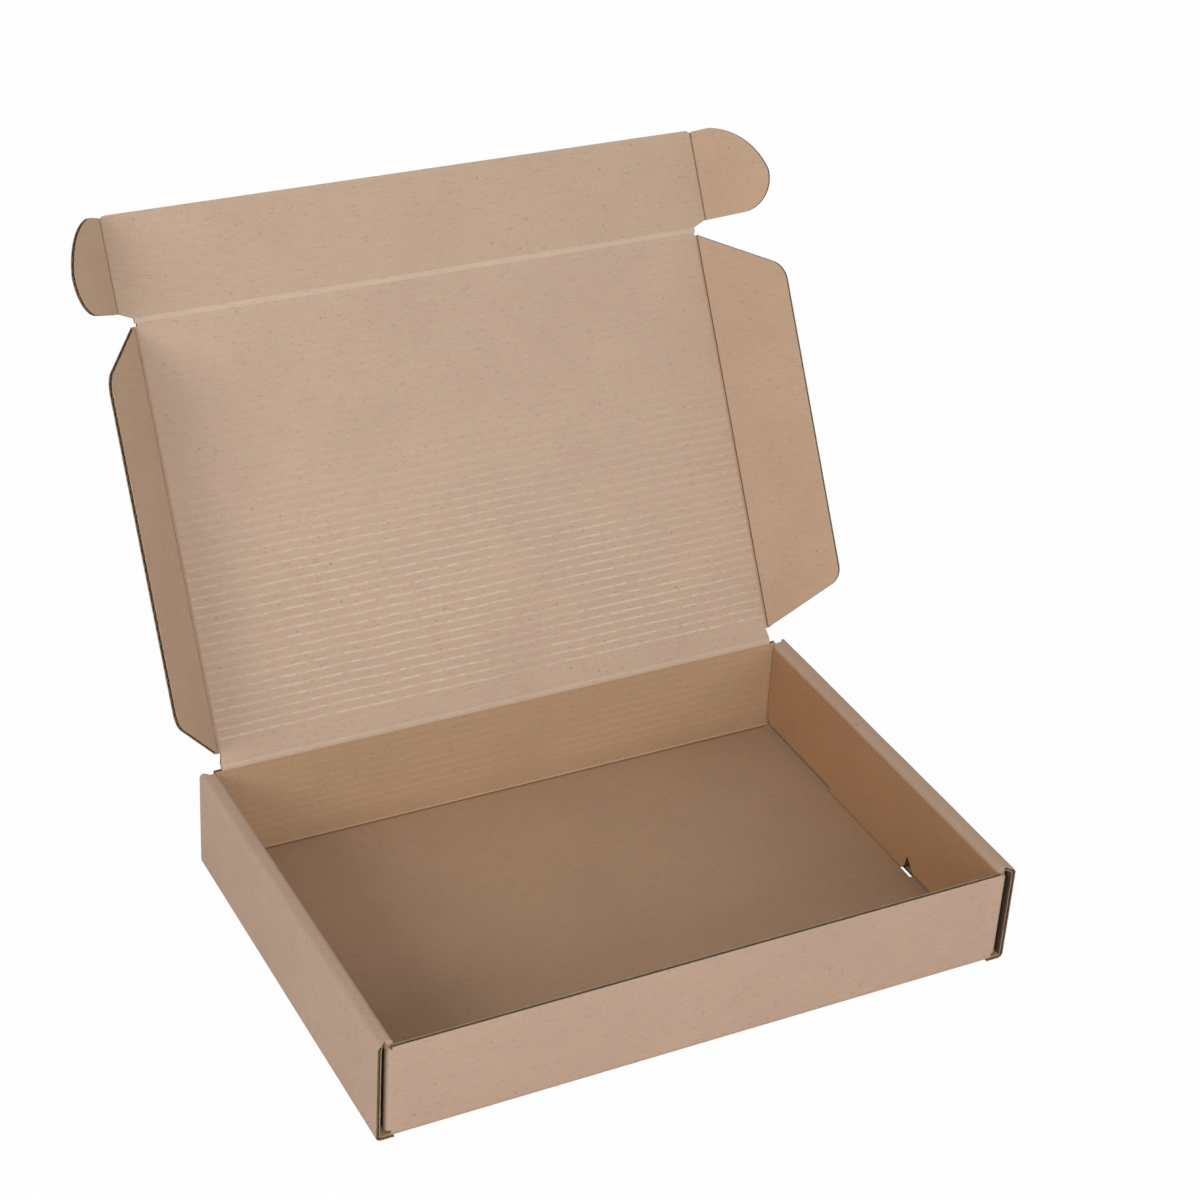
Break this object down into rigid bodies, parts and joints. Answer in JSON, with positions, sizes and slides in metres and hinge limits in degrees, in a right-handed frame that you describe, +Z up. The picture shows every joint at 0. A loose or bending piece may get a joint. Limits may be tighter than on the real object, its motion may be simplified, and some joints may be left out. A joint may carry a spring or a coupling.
{
  "type": "open mailer box",
  "caption": "Shallow corrugated board mailer box with rolled side walls, a hinged lid, side flaps, a tuck flap and locking ears, standing open.",
  "frame": {"origin": "centre of the base's underside", "axes": "+X right along the front wall, +Y from the front wall to the hinged back wall, +Z up"},
  "size_m": [0.2598, 0.2474, 0.2036],
  "materials": {
    "kraft_board": "uncoated brown kraft liner on corrugated board, matt, with faint flute lines and paper fibres"
  },
  "bodies": {
    "tray": {"tray": "kraft_board"},
    "lid": {"lid": "kraft_board"},
    "tuck_flap": {"tuck_flap": "kraft_board"},
    "left_ear": {"left_ear": "kraft_board"},
    "right_ear": {"right_ear": "kraft_board"},
    "left_side_flap": {"left_side_flap": "kraft_board"},
    "right_side_flap": {"right_side_flap": "kraft_board"}
  },
  "joints": [
    {"name": "lid_crease", "type": "hinge", "parent": "tray", "child": "lid", "pos_m": [0, 0.0753, 0.0383], "axis": [-1, 0, 0], "range_deg": [-120.5, 59.5]},
    {"name": "tuck_flap_crease", "type": "hinge", "parent": "lid", "child": "tuck_flap", "pos_m": [0, 0.15265, 0.16961], "axis": [-1, 0, 0], "range_deg": [-90, 20]},
    {"name": "left_ear_crease", "type": "hinge", "parent": "tuck_flap", "child": "left_ear", "pos_m": [-0.11175, 0.15265, 0.16961], "axis": [0, -0.5075, -0.8616], "range_deg": [-40, 50]},
    {"name": "right_ear_crease", "type": "hinge", "parent": "tuck_flap", "child": "right_ear", "pos_m": [0.11175, 0.15265, 0.16961], "axis": [0, 0.5075, 0.8616], "range_deg": [-40, 50]},
    {"name": "left_side_flap_crease", "type": "hinge", "parent": "lid", "child": "left_side_flap", "pos_m": [-0.10715, 0.0753, 0.0383], "axis": [0, -0.5075, -0.8616], "range_deg": [-67.6, 33.4]},
    {"name": "right_side_flap_crease", "type": "hinge", "parent": "lid", "child": "right_side_flap", "pos_m": [0.10715, 0.0753, 0.0383], "axis": [0, 0.5075, 0.8616], "range_deg": [-67.6, 33.4]}
  ],
  "couplings": [
    {"joint": "left_side_flap_crease", "follows": "lid_crease", "ratio": 0.56},
    {"joint": "right_side_flap_crease", "follows": "lid_crease", "ratio": 0.56}
  ]
}
